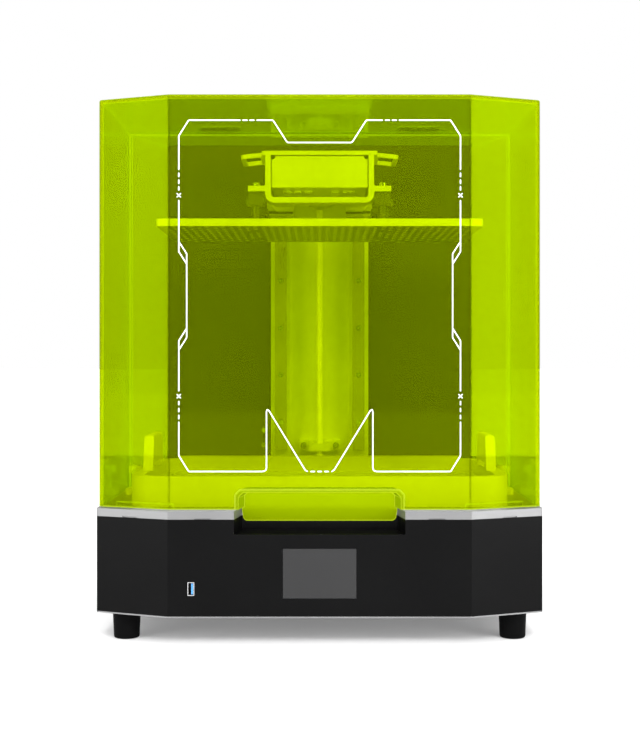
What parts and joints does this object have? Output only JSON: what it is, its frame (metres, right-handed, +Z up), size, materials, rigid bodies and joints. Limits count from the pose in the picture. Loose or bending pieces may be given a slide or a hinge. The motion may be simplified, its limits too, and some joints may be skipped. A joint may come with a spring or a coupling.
{
  "type": "resin printer",
  "caption": "Large resin 3D printer: black base with touch screen, see-through yellow-green hinged lid, perforated build plate on a Z tower, lift-out resin vat.",
  "frame": {"origin": "on the surface the printer stands on, at the centre of its bounding box seen from above", "axes": "+X to the right seen from the front, +Y to the back, +Z up"},
  "size_m": [0.475, 0.402, 0.5817],
  "materials": {
    "base_paint": "fine matt black powder coat on folded steel",
    "rear_paint": "matt black powder coat",
    "plate_silver": "bead-blasted, clear-coated silver",
    "clear_green": "see-through yellow-green moulded acrylic, polished",
    "bright_aluminium": "bright satin anodised, fine grain",
    "tower_aluminium": "satin anodised extrusion",
    "rail_steel": "ground and hardened steel",
    "block_steel": "ground steel with plastic end seals",
    "screw_steel": "bright zinc-plated steel",
    "black_steel": "black oxide",
    "brass_nut": "turned brass",
    "vat_body": "pale satin moulded tank",
    "film_clear": "clear stretched release film",
    "knob_metal": "turned and fluted aluminium",
    "foot_rubber": "soft black rubber",
    "screen_glass": "grey unlit screen under matt glass",
    "lcd_glass": "dark polarised glass",
    "black_plastic": "moulded black plastic",
    "blue_plastic": "blue moulded tongue",
    "socket_steel": "bright nickel-plated pressed steel",
    "board_green": "green solder mask",
    "board_white": "white solder mask on aluminium",
    "lens_clear": "clear moulded lenses",
    "filter_carbon": "pleated activated carbon",
    "plain_aluminium": "mill-finish aluminium",
    "zinc_steel": "galvanised sheet steel"
  },
  "bodies": {
    "base": {"base_shell": "base_paint", "top_plate": "plate_silver", "bottom_pan": "plate_silver", "feet": "foot_rubber", "foot_screws": "screw_steel", "touch_screen": "screen_glass", "usb_shell": "socket_steel", "usb_tongue": "blue_plastic", "power_inlet": "black_plastic", "base_fan_frame": "black_plastic", "exhaust_fan_frame": "black_plastic", "lcd_panel": "lcd_glass", "lcd_bezel": "black_plastic", "light_engine_housing": "black_plastic", "led_board": "board_white", "lens_array": "lens_clear", "heat_sink": "plain_aluminium", "main_board": "board_green", "power_supply": "zinc_steel", "rear_housing": "rear_paint", "back_panel": "rear_paint", "carbon_filter": "filter_carbon", "rear_cover": "clear_green", "hinge_fixed_leaves": "screw_steel", "hinge_pins": "screw_steel", "tower_frame": "tower_aluminium", "linear_rails": "rail_steel", "rail_screws": "screw_steel", "lower_bearing_block": "tower_aluminium", "upper_bearing_block": "tower_aluminium", "screw_bearings": "screw_steel", "frame_screws": "screw_steel", "z_motor": "black_steel"},
    "lid": {"lid_shell": "clear_green", "lid_handle": "clear_green", "hinge_lid_leaves": "screw_steel"},
    "lead_screw": {"lead_screw": "screw_steel"},
    "carriage": {"carriage_blocks": "block_steel", "block_end_caps": "black_plastic", "carriage_plate": "tower_aluminium", "lead_nut": "brass_nut", "platform_arm": "bright_aluminium"},
    "platform": {"platform_bracket": "bright_aluminium", "platform_top": "bright_aluminium", "build_plate": "bright_aluminium", "level_posts": "black_steel"},
    "level_screw_left_front": {"level_screw_left_front": "screw_steel"},
    "level_screw_left_rear": {"level_screw_left_rear": "screw_steel"},
    "level_screw_right_front": {"level_screw_right_front": "screw_steel"},
    "level_screw_right_rear": {"level_screw_right_rear": "screw_steel"},
    "vat": {"vat_tank": "vat_body", "vat_film": "film_clear", "film_frame": "bright_aluminium", "film_screws": "screw_steel", "vat_handles": "vat_body"},
    "vat_knob_left": {"vat_knob_left": "knob_metal"},
    "vat_knob_right": {"vat_knob_right": "knob_metal"},
    "base_fan": {"base_fan_rotor": "black_plastic"},
    "exhaust_fan": {"exhaust_fan_rotor": "black_plastic"},
    "rocker": {"power_rocker": "black_plastic"}
  },
  "joints": [
    {"name": "lid_hinge", "type": "hinge", "parent": "base", "child": "lid", "pos_m": [0, 0.03845, 0.5785], "axis": [-1, 0, 0], "range_deg": [0, 80]},
    {"name": "carriage_slide", "type": "slide", "parent": "base", "child": "carriage", "axis": [0, 0, 1], "range_m": [-0.2935, 0.015]},
    {"name": "lead_screw_spin", "type": "hinge", "parent": "base", "child": "lead_screw", "pos_m": [0, 0.106, 0.3], "axis": [0, 0, 1], "range_deg": [-700, 13300]},
    {"name": "platform_slide", "type": "slide", "parent": "carriage", "child": "platform", "axis": [0, -1, 0], "range_m": [0, 0.035]},
    {"name": "vat_lift", "type": "slide", "parent": "base", "child": "vat", "axis": [0, 0, 1], "range_m": [0, 0.06]},
    {"name": "vat_knob_left_turn", "type": "hinge", "parent": "vat", "child": "vat_knob_left", "pos_m": [-0.216, -0.021, 0.17], "axis": [0, 0, 1], "range_deg": [0, 1080]},
    {"name": "vat_knob_right_turn", "type": "hinge", "parent": "vat", "child": "vat_knob_right", "pos_m": [0.216, -0.021, 0.17], "axis": [0, 0, 1], "range_deg": [0, 1080]},
    {"name": "base_fan_spin", "type": "hinge", "parent": "base", "child": "base_fan", "pos_m": [0.07, 0.185, 0.08], "axis": [0, 1, 0], "continuous": true},
    {"name": "exhaust_fan_spin", "type": "hinge", "parent": "base", "child": "exhaust_fan", "pos_m": [-0.12, 0.185, 0.43], "axis": [0, 1, 0], "continuous": true},
    {"name": "power_switch", "type": "hinge", "parent": "base", "child": "rocker", "pos_m": [-0.1, 0.196, 0.078], "axis": [1, 0, 0], "range_deg": [0, 16]},
    {"name": "level_screw_left_front_turn", "type": "hinge", "parent": "platform", "child": "level_screw_left_front", "pos_m": [-0.0715, -0.079, 0.49], "axis": [0, 0, 1], "range_deg": [-360, 360]},
    {"name": "level_screw_left_rear_turn", "type": "hinge", "parent": "platform", "child": "level_screw_left_rear", "pos_m": [-0.0715, 0.019, 0.49], "axis": [0, 0, 1], "range_deg": [-360, 360]},
    {"name": "level_screw_right_front_turn", "type": "hinge", "parent": "platform", "child": "level_screw_right_front", "pos_m": [0.0715, -0.079, 0.49], "axis": [0, 0, 1], "range_deg": [-360, 360]},
    {"name": "level_screw_right_rear_turn", "type": "hinge", "parent": "platform", "child": "level_screw_right_rear", "pos_m": [0.0715, 0.019, 0.49], "axis": [0, 0, 1], "range_deg": [-360, 360]}
  ],
  "couplings": [
    {"joint": "lead_screw_spin", "follows": "carriage_slide", "rad_per_m": -785.4}
  ]
}
